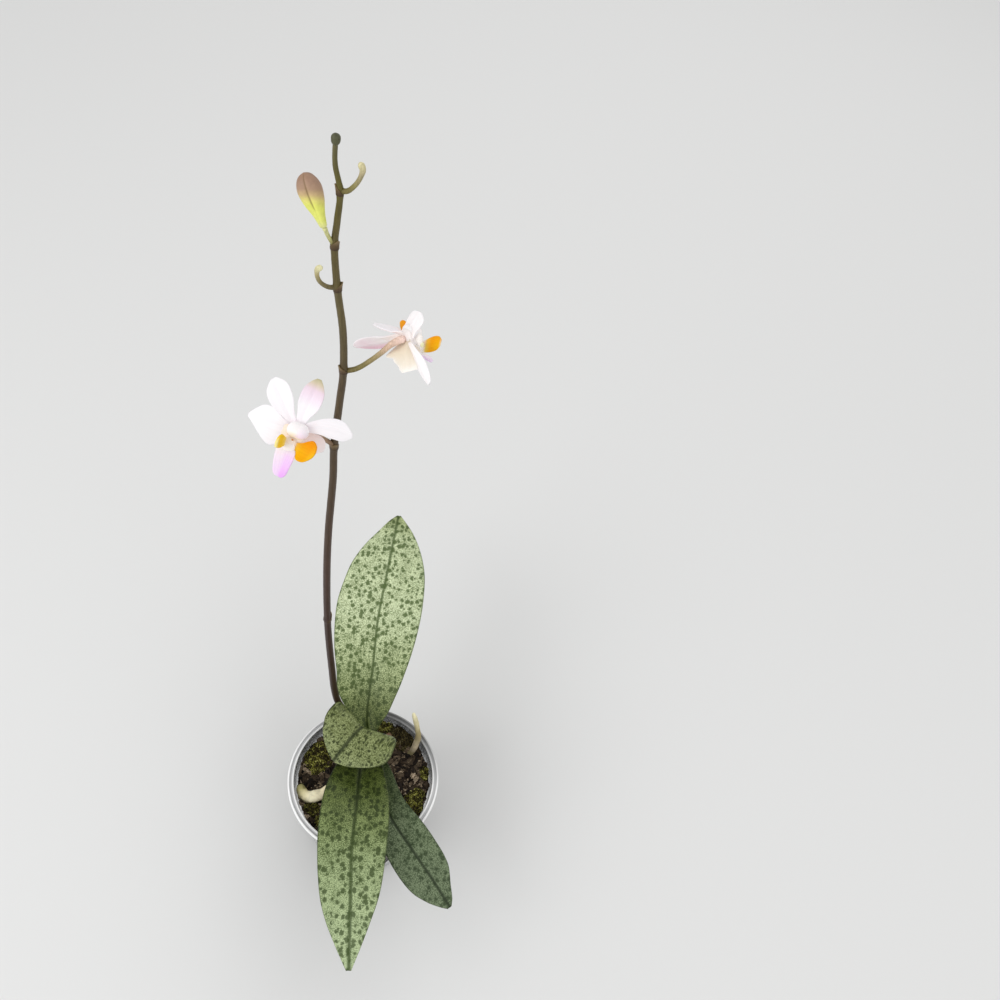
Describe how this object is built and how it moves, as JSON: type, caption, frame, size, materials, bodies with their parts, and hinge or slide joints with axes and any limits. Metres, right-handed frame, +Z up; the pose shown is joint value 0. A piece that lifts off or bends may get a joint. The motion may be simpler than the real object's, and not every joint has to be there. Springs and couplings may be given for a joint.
{
  "type": "potted phalaenopsis pulcherrima",
  "caption": "Small moth orchid in a clear plastic pot of bark, with broad mottled leaves, a tall thin flower spike, open blooms and a bud.",
  "frame": {"origin": "middle of the pot's underside, where the pot rests", "axes": "+Z up along the pot's axis, -Y towards the viewer and the front leaf, +X to the viewer's right"},
  "size_m": [0.1147, 0.2708, 0.5045],
  "materials": {
    "clear_plastic": "clear, thin, slightly cloudy",
    "bark": "rough damp bark chips",
    "moss": "soft yellow-green moss",
    "dry_moss": "soft brownish moss",
    "root_skin": "matt, spongy, beige",
    "stem_skin": "dull green and brown sheaths",
    "leaf": "satin, silvery green with dark green mottling",
    "dark_leaf": "satin, darker grey-green with mottling",
    "spike": "satin, purple-brown to olive",
    "tepal": "satin white with a pink flush",
    "lip_lobe": "waxy yellow to orange",
    "lip_tongue": "satin lilac",
    "bud": "satin mauve-brown to yellow-green"
  },
  "bodies": {
    "root": {"pot": "clear_plastic", "potting_bark": "bark", "moss_left": "moss", "moss_right": "moss", "moss_back": "dry_moss", "root_left": "root_skin", "root_back_right": "root_skin", "root_back": "root_skin", "stem": "stem_skin", "leaf_back": "leaf", "leaf_front": "leaf", "leaf_front_right": "dark_leaf", "leaf_young": "leaf", "flower_spike": "spike", "bloom_lower_tepals": "tepal", "bloom_lower_lip_lobes": "lip_lobe", "bloom_lower_lip_tongue": "lip_tongue", "bloom_upper_tepals": "tepal", "bloom_upper_lip_lobes": "lip_lobe", "bloom_upper_lip_tongue": "lip_tongue", "bud": "bud"}
  },
  "joints": []
}
